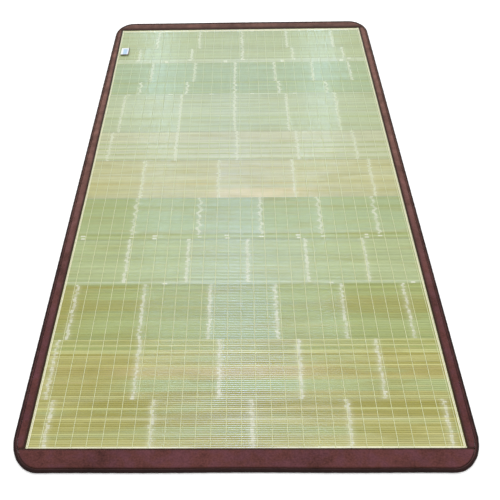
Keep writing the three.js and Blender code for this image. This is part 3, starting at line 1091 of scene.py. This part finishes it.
class MAT_OT_slats(Operator):
    """Lays the slats of the whole mat, bundle by bundle"""
    bl_idname = "mat.slats"
    bl_label = "Lay slats"

    def execute(self, context):
        mat = context.scene.bamboo_mat
        settings = mat.slats
        tree = slat_tree()
        material = shared_material("split_bamboo", bamboo_finish)
        inset = HALF_WIDTH - SLAT_HIGH[0]
        pieces = {}
        laid = 0
        for order, bundle in enumerate(BUNDLES):
            piece = make_slat(f"slats_{bundle.piece:02d}", bundle.nodes, settings)
            run_tree(piece, tree, {
                "Count": bundle.slats,
                "First": SLAT_LOW[1] + (laid + 0.5) * SLAT_PITCH,
                "Pitch": SLAT_PITCH,
                "Half length": SLAT_HIGH[0],
                "Corner across": mat.outline.corner_across - inset,
                "Corner start": HALF_LENGTH - mat.outline.corner_along - settings.width / 2,
                "Corner along": mat.outline.corner_along - inset,
                "Tilt": settings.tilt,
                "Lift": settings.lift,
                "Wobble": settings.wobble,
                "Zigzag": bundle.zigzag,
                "Zigzag period": settings.zigzag_period,
                "Number": laid,
                "Seed": settings.seed,
                "Material": material,
            })
            paint_slats(piece.data, order, mat.colours, settings.seed)
            pieces.setdefault(bundle.piece, []).append(piece)
            laid += bundle.slats
        for parts in pieces.values():
            piece = join_pieces(parts)
            smooth(piece)
            finish_piece(piece, material, ("slat_field",))
        return {"FINISHED"}


class MAT_OT_threads(Operator):
    """Lays the rows of sewing thread over and under the slats"""
    bl_idname = "mat.threads"
    bl_label = "Lay threads"

    def execute(self, context):
        settings = context.scene.bamboo_mat.threads
        sewn = SLAT_COUNT - 2 * settings.bare
        over = {
            "Steps": 2 * sewn + 1,
            "Step": SLAT_PITCH / 2,
            "Crest": SLAT_HIGH[2] + settings.radius * THREAD_UP,
            "Dip": settings.dip,
        }
        under = {
            "Steps": sewn // 2 + 1,
            "Step": SLAT_PITCH * 2,
            "Crest": SLAT_LOW[2] - settings.radius * THREAD_DOWN,
            "Dip": 0.0,
        }
        inner = {
            "Radius": settings.radius,
            "Rows": settings.lines,
            "First row": settings.first,
            "Spacing": settings.spacing,
            "Material": shared_material("sewing_thread", thread_finish),
        }
        pair = PAIR_SPACING * settings.edge_radius
        outer = {
            "Radius": settings.edge_radius,
            "Rows": 2,
            "Spacing": pair,
            "Material": shared_material("edge_thread", edge_thread_finish),
        }
        sets = {
            "threads_over": {**over, **inner},
            "threads_left": {**over, **outer, "First row": -settings.edge},
            "threads_right": {**over, **outer, "First row": settings.edge - pair},
            "threads_under": {**under, **inner},
        }
        shared = {"Start": SLAT_LOW[1] + settings.bare * SLAT_PITCH, "Stray": settings.stray}
        tree = thread_tree()
        for name, values in sets.items():
            piece = mesh_object(name, [], [])
            run_tree(piece, tree, {**shared, **values})
            if name == "threads_left":
                places = read_places(piece.data)
                places[:, 0] -= read_table(LEFT_HEM, places[:, 1])
                piece.data.vertices.foreach_set("co", places.ravel())
            smooth(piece, math.pi)
            finish_piece(piece, values["Material"])
        return {"FINISHED"}


# Outline of the mat

def edge_draw(edge, place):
    """How far an edge draws inwards; place runs from -1 to 1 between its corners."""
    wave = (1 + np.cos(2 * math.pi * edge.turns * place)) / 2
    return edge.dip * wave * (1 - place ** 4)


def corner_place(outline, quarter, angle):
    """A point on a corner's arc and the direction into the mat."""
    sign_x = 1 if quarter in (0, 3) else -1
    sign_y = 1 if quarter < 2 else -1
    across, along = outline.corner_across, outline.corner_along
    x = sign_x * (HALF_WIDTH - across) + across * math.cos(angle)
    y = sign_y * (HALF_LENGTH - along) + along * math.sin(angle)
    inward = np.array((-math.cos(angle) / across, -math.sin(angle) / along))
    return np.array((x, y)), inward / np.linalg.norm(inward)


def corner_curve(outline, inset, close):
    """The far right corner moved inwards by inset, less up to close halfway round: X and Y."""
    places = []
    for angle in np.linspace(0, math.pi / 2, CURVE_POINTS):
        point, inward = corner_place(outline, 0, angle)
        places.append(point + inward * (inset - close * math.sin(2 * angle)))
    return np.transpose(places)


def outline_stations(outline, spacing, corner_steps):
    """Points round the mat, anticlockwise: the direction inwards, and how far each is drawn in."""
    points, inwards, draws = [], [], []
    for quarter, edge in enumerate(EDGES):
        angle = quarter * math.pi / 2
        start, inward = corner_place(outline, (quarter + 3) % 4, angle)
        end, _ = corner_place(outline, quarter, angle)
        steps = max(2, round(np.linalg.norm(end - start) / spacing))
        for i in range(steps):
            points.append(start + (end - start) * i / steps)
            inwards.append(inward)
            draws.append(edge_draw(edge, 2 * i / steps - 1))
        for i in range(corner_steps):
            point, turned = corner_place(outline, quarter, angle + i / corner_steps * math.pi / 2)
            points.append(point)
            inwards.append(turned)
            draws.append(0.0)
    return np.array(points), np.array(inwards), np.array(draws)


class MAT_OT_piping(Operator):
    """Lays the covered cord round the edge"""
    bl_idname = "mat.piping"
    bl_label = "Lay piping"

    def execute(self, context):
        mat = context.scene.bamboo_mat
        settings = mat.piping
        points, inwards, draws = outline_stations(mat.outline, settings.spacing, CORNER_STEPS)
        steps = np.linalg.norm(np.diff(points, axis=0, append=points[:1]), axis=1)
        total = float(steps.sum())
        run = np.concatenate([[0.0], np.cumsum(steps)[:-1]])[:, None]
        radius = PIPING_HEIGHT / 2
        angle = np.linspace(0, 2 * math.pi, settings.sides, endpoint=False)[None, :]
        turns = round(total / settings.ripple_pitch)
        travel = 2 * math.pi * turns * run / total
        slower = round(SECOND_PACE * turns) / turns * travel
        second = SECOND_RIPPLE * np.sin(slower - 2 * angle)
        ripple = FIRST_RIPPLE * np.sin(travel + angle) + second
        girth = radius - settings.ripple * (1 + ripple)
        inset = radius - girth * np.cos(angle) + draws[:, None]
        height = radius + girth * np.sin(angle)
        places = points[:, None, :] + inwards[:, None, :] * inset[:, :, None]
        grid = np.concatenate([places, height[:, :, None]], axis=2)
        faces = grid_faces(*height.shape, closed_rows=True, closed_columns=True)
        piece = mesh_object("piping", grid.reshape(-1, 3), [face[::-1] for face in faces])
        add_uv(piece.data, spread(run, height), radius * spread(angle, height))

        # Painted shade: in the seam beside the binding, and over the outer side down to the floor
        facing = inwards[:, 1:]
        seam = PIPING_SEAM + PIPING_SEAM_ENDS * np.abs(facing)
        seam = seam * bump_at(np.cos(angle) + 1, PIPING_SEAM_WIDTH)
        lean = SHADE_LEAN + SHADE_LEAN_FAR * np.clip(-facing, 0, 1)
        underside_shade = SHADE_STRENGTH * np.clip((np.cos(angle - lean) - SHADE_FROM) / SHADE_FADE, 0, 1)
        add_numbers(piece.data, "painted_shade", spread(np.maximum(seam, underside_shade), height))
        smooth(piece)
        material = shared_material("piping_cloth", piping_finish)
        names = ("piping_near", "piping_far", "piping_left", "piping_right")
        finish_piece(piece, material, names)
        return {"FINISHED"}


# Binding cloth

def crown(inset):
    """Height of the binding's upper face at a distance from the mat's outer edge."""
    return read_table(BINDING_TOP, inset)


def depth_inside(outline, x, y):
    """How far a point at an end of the mat lies from the outer edge, round the corners too."""
    over = np.maximum(np.abs(x) - (HALF_WIDTH - outline.corner_across), 0.0)
    up = np.abs(y) - (HALF_LENGTH - outline.corner_along)
    a, b = over / outline.corner_across, up / outline.corner_along
    level = np.sqrt(a ** 2 + b ** 2)
    slope = np.sqrt((a / outline.corner_across) ** 2 + (b / outline.corner_along) ** 2) / level
    return (1 - level) / slope


def cloth_section(binding, wall, hem, top_height):
    """The cloth's middle line, section by section: across the strip and up.

    wall and hem are the places of the outer wall and of the hem for each section. The last two
    results are the first column over the top and the first past it.
    """
    wall = wall[:, None]
    hem = hem[:, None]
    span = wall - hem
    half = binding.cloth / 2
    turned = hem + np.minimum(binding.hem_return, HEM_RETURN_MOST * span) * np.array(HEM_RETURN)
    round_hem = (top_height(hem) - half - binding.hem_rest) / 2
    bend = np.radians(HEM_TURNS)
    nose = hem - round_hem * np.cos(bend)
    nose_up = binding.hem_rest + round_hem * (1 + np.sin(bend))
    beside = np.minimum(np.array(BESIDE_HEM), BESIDE_HEM_MOST * span)
    rest = beside[:, -1:]
    beyond = hem + rest + (span - rest - TOP_TO_WALL) * np.array(OVER_TOP)
    over = np.concatenate([hem + beside, beyond], axis=1)
    down = wall - np.array(WALL_STEPS)
    below = wall + (hem - PAST_HEM - wall) * np.array(RETURN_BELOW)
    across = np.concatenate([turned, nose, over, down, below], axis=1)
    up = np.concatenate([
        np.full(turned.shape, binding.hem_rest),
        nose_up,
        top_height(over) - half,
        spread(WALL_HEIGHTS, down),
        np.full(below.shape, half),
    ], axis=1)
    first_over = turned.shape[1] + nose.shape[1]
    return across, up, first_over, first_over + over.shape[1]


def cloth_insets(binding):
    """How far the cloth's middle lies inside the mat's edge at the wall, and outside the hem."""
    half = binding.cloth / 2
    at_hem = 0.5 * (BINDING_TOP[-1].height - half - binding.hem_rest) + half
    return BINDING_TOP[0].inset + half, at_hem


def end_route(mat, edge):
    """An end strip with its corners: places along it, its wall, its hem and its top's height."""
    outline = mat.outline
    wall_inset, hem_inset = cloth_insets(mat.binding)
    straight = HALF_WIDTH - outline.corner_across
    steps = round(2 * straight / mat.binding.spacing)
    x = np.linspace(-straight, straight, steps + 1)
    wall = HALF_LENGTH - wall_inset - edge_draw(edge, x / straight)
    curve_x, curve_y = corner_curve(outline, wall_inset, mat.binding.close)
    past_straight = curve_x > straight + CORNER_PAST_STRAIGHT
    corner = (curve_y > HEM_Y + CORNER_PAST_HEM) & past_straight
    corner_x, corner_wall = curve_x[corner], curve_y[corner]
    x = np.concatenate([-corner_x, x, corner_x[::-1]])
    wall = np.concatenate([corner_wall, wall, corner_wall[::-1]])

    def top_height(y):
        return crown(depth_inside(outline, spread(x[:, None], y), y))
    return x, wall, np.full(len(x), HEM_Y + hem_inset), top_height


def side_route(mat, edge):
    """A side strip between the ends: places along it, its wall, its hem and its top's height."""
    outline = mat.outline
    wall_inset, hem_inset = cloth_insets(mat.binding)
    straight = HALF_LENGTH - outline.corner_along
    steps = round(2 * SIDE_END / mat.binding.spacing)
    y = np.linspace(-SIDE_END, SIDE_END, steps + 1)
    draw = np.where(np.abs(y) < straight, edge_draw(edge, y / straight), 0.0)
    curve_x, curve_y = corner_curve(outline, wall_inset, mat.binding.close)
    rounded = HALF_WIDTH - wall_inset - np.interp(np.abs(y), curve_y, curve_x)
    wall = HALF_WIDTH - wall_inset - draw - rounded
    outwards = read_table(LEFT_HEM, y) if edge.name == "left" else np.zeros(len(y))

    def top_height(x):
        return crown(HALF_WIDTH - x - (rounded * ROUNDED_SHARE)[:, None])
    return y, wall, HEM_X + hem_inset + outwards, top_height


def strip_grid(mat, edge):
    """Points of one strip's middle layer, the painted shade at each, and the column to stitch."""
    binding = mat.binding
    at_side = edge.name in SIDES
    along, wall, hem, top_height = (side_route if at_side else end_route)(mat, edge)
    across, up, first_over, last_over = cloth_section(binding, wall, hem, top_height)
    run = spread(along[:, None], across)
    from_hem = across - hem[:, None]
    from_wall = wall[:, None] - across
    columns = np.arange(across.shape[1])[None, :]
    on_top = spread((columns >= first_over) & (columns < last_over), across).astype(float)

    fade = np.clip(from_hem / SMOOTH_RIM, 0, 1) * np.clip(from_wall / SMOOTH_RIM, 0, 1) * on_top
    groove = -GROOVE_DEPTH * bump_at(from_hem - binding.stitch_inset, GROOVE_WIDTH)
    pulled = bump_at(from_hem, HEM_PULL) + bump_at(from_wall, WALL_PULL)
    order = EDGES.index(edge)
    puckers = waves(run, from_hem * PUCKER_DRAWN, PUCKER_SEED + order, *PUCKER_TURNS) * pulled
    swell = waves(run, from_hem, SWELL_SEED + order, *SWELL_TURNS)
    uneven = PUCKER_SHARE * puckers + SWELL_SHARE * swell
    up = up + fade * (groove + binding.pucker * uneven)

    # Painted shade: beside the hem and the piping, below the mat, and where the strips meet
    beside_hem = bump_at(np.abs(from_hem), edge.hem_shadow, 3)
    beside_piping = edge.piping_shadow * bump_at(from_wall - PIPING_SHADOW_AT, PIPING_SHADOW)
    painted_shade = np.clip(beside_hem + beside_piping, edge.soil, 1)
    painted_shade = np.where(columns >= last_over + DARK_COLUMN, BELOW_DARK, painted_shade)
    if at_side:
        past = np.abs(run) - SIDE_END
        up = up - on_top * SEAM_DEPTH * np.clip((past + SEAM_REACH) / SEAM_REACH, 0, 1) ** 2
        painted_shade = np.maximum(painted_shade, on_top * np.clip((past + SEAM_DARK) / SEAM_DARK, 0, 1))

    sign = 1 if edge.name in ("far", "right") else -1
    plan = (sign * across, run) if at_side else (run, sign * across)
    return np.stack([*plan, up], axis=2), painted_shade, first_over + STITCH_COLUMN


def make_strip(mat, edge, material):
    grid, painted_shade, _ = strip_grid(mat, edge)
    rows, columns, _ = grid.shape
    steps = np.linalg.norm(np.diff(grid, axis=1), axis=2)
    travel = np.concatenate([np.zeros((rows, 1)), np.cumsum(steps, axis=1)], axis=1)
    run = spread(grid[:, :1, 1 if edge.name in SIDES else 0], travel)
    faces = grid_faces(rows, columns)
    piece = mesh_object(f"binding_cloth_{edge.name}", grid.reshape(-1, 3), faces)
    add_uv(piece.data, run, travel)
    add_numbers(piece.data, "painted_shade", painted_shade)
    thicken(piece, mat.binding.cloth)
    smooth(piece)
    finish_piece(piece, material, (f"binding_{edge.name}",))


class MAT_OT_binding(Operator):
    """Folds the cloth binding round the slats"""
    bl_idname = "mat.binding"
    bl_label = "Fold binding"

    def execute(self, context):
        material = shared_material("binding_cloth", binding_finish)
        for edge in EDGES:
            make_strip(context.scene.bamboo_mat, edge, material)
        return {"FINISHED"}


class MAT_OT_stitches(Operator):
    """Topstitches the hems"""
    bl_idname = "mat.stitches"
    bl_label = "Topstitch hems"

    def execute(self, context):
        mat = context.scene.bamboo_mat
        settings = mat.stitches
        above = np.array((0, 0, mat.binding.cloth / 2 + settings.radius * STITCH_UP))
        points, edges = [], []
        for edge in EDGES:
            grid, _, column = strip_grid(mat, edge)
            line = grid[STITCH_MARGIN:-STITCH_MARGIN, column] + above
            first = len(points)
            points.extend(line)
            edges.extend((first + i, first + i + 1) for i in range(len(line) - 1))
        piece = mesh_object("topstitching", points, [], edges)
        material = shared_material("topstitch_thread", stitch_finish)
        run_tree(piece, stitch_tree(), {
            "Pitch": settings.pitch,
            "Long": settings.long,
            "Radius": settings.radius,
            "Material": material,
        })
        smooth(piece, math.pi)
        finish_piece(piece, material)
        return {"FINISHED"}


class MAT_OT_label(Operator):
    """Lays the blank patch at the far left corner"""
    bl_idname = "mat.label"
    bl_label = "Lay label"

    def execute(self, context):
        mat = context.scene.bamboo_mat
        side = np.linspace(0, LABEL_WIDTH, LABEL_COLUMNS)[None, :]
        down = np.linspace(0, LABEL_LENGTH, LABEL_ROWS)[:, None]
        side_share, down_share = side / LABEL_WIDTH, down / LABEL_LENGTH
        bow = LABEL_BOW * np.sin(math.pi * side / LABEL_WIDTH) * down_share
        corner = LABEL_CORNER * side_share ** 2 * down_share ** 3
        rest = LABEL_LOW[2] + mat.label.cloth / 2
        height = rest + read_table(LABEL_RISE, down) + bow + corner
        across = spread(LABEL_LOW[0] + side, height)
        along = spread(LABEL_HIGH[1] - down, height)
        grid = np.stack([across, along, height], axis=2)
        faces = grid_faces(*height.shape)
        piece = mesh_object("label_patch", grid.reshape(-1, 3), faces)
        add_uv(piece.data, spread(down, height), spread(side, height))
        thicken(piece, mat.label.cloth)
        smooth(piece)
        finish_piece(piece, shared_material("label_cloth", label_finish), ("label",))
        return {"FINISHED"}


# Stage

def area_light(name, place, size, power, tone):
    """A lamp that looks at the mat's middle."""
    data = bpy.data.lights.new(name, "AREA")
    data.shape = "RECTANGLE"
    data.size, data.size_y = size
    data.energy = power
    data.color = tone
    lamp = bpy.data.objects.new(name, data)
    lamp.location = place
    lamp.rotation_mode = "QUATERNION"
    lamp.rotation_quaternion = (-Vector(place)).to_track_quat("-Z", "Y")
    bpy.context.scene.collection.objects.link(lamp)
    return lamp


class MAT_OT_stage(Operator):
    """Sets up the camera, the lights and the pale floor"""
    bl_idname = "mat.stage"
    bl_label = "Set stage"

    def execute(self, context):
        stage = context.scene.bamboo_mat.stage
        half = stage.floor / 2
        corners = [
            (x * half, y * half, FLOOR_LEVEL) for x, y in ((-1, -1), (1, -1), (1, 1), (-1, 1))
        ]
        floor = mesh_object("floor", corners, [(0, 1, 2, 3)])
        floor.data.materials.append(shared_material("pale_floor", floor_finish))

        world = bpy.data.worlds.new("soft_sky")
        world.use_nodes = True
        sky = world.node_tree.nodes["Background"]
        sky.inputs["Color"].default_value = (1.0, 1.0, 1.0, 1.0)
        sky.inputs["Strength"].default_value = stage.sky
        context.scene.world = world

        softbox = area_light("softbox", SOFTBOX_PLACE, SOFTBOX_SIZE, stage.softbox, (1, 1, 1))
        softbox.visible_glossy = False
        for name, place, size, share, tone in WINDOWS:
            window = area_light(name, place, size, stage.window * share, tone)
            window.visible_diffuse = False

        camera = bpy.data.objects.new("camera", bpy.data.cameras.new("camera"))
        camera.data.lens = stage.lens
        camera.data.sensor_width = SENSOR_MM
        camera.data.shift_x = stage.shift
        camera.data.clip_start = 0.01
        camera.data.clip_end = 50.0
        aside = Matrix.Rotation(-stage.turn, 4, "Z")
        turned = aside @ Matrix.Rotation(math.pi / 2 - stage.down, 4, "X")
        at = Matrix.Translation(stage.camera_at)
        camera.matrix_world = at @ turned @ Matrix.Rotation(stage.roll, 4, "Z")
        context.scene.collection.objects.link(camera)
        context.scene.camera = camera
        context.scene.view_settings.view_transform = "Standard"
        return {"FINISHED"}


STEPS = (
    MAT_OT_stage,
    MAT_OT_slats,
    MAT_OT_threads,
    MAT_OT_binding,
    MAT_OT_stitches,
    MAT_OT_piping,
    MAT_OT_label,
)


class MAT_PT_panel(Panel):
    """Lists the steps that build the mat"""
    bl_idname = "MAT_PT_panel"
    bl_label = "Bamboo mat"
    bl_space_type = "VIEW_3D"
    bl_region_type = "UI"
    bl_category = "Bamboo mat"

    def draw(self, context):
        mat = context.scene.bamboo_mat
        for step in STEPS:
            self.layout.operator(step.bl_idname)
        for name in GROUPS:
            box = self.layout.box()
            box.label(text=name.capitalize())
            group = getattr(mat, name)
            for key in group.bl_rna.properties.keys():
                if key not in ("rna_type", "name"):
                    box.prop(group, key)


CLASSES = (*GROUPS.values(), MatSettings, *STEPS, MAT_PT_panel)


def register():
    for cls in CLASSES:
        bpy.utils.register_class(cls)
    bpy.types.Scene.bamboo_mat = PointerProperty(type=MatSettings)


def unregister():
    del bpy.types.Scene.bamboo_mat
    for cls in reversed(CLASSES):
        bpy.utils.unregister_class(cls)


def main():
    register()
    for step in STEPS:
        group, name = step.bl_idname.split(".")
        getattr(getattr(bpy.ops, group), name)()


if __name__ == "__main__":
    main()
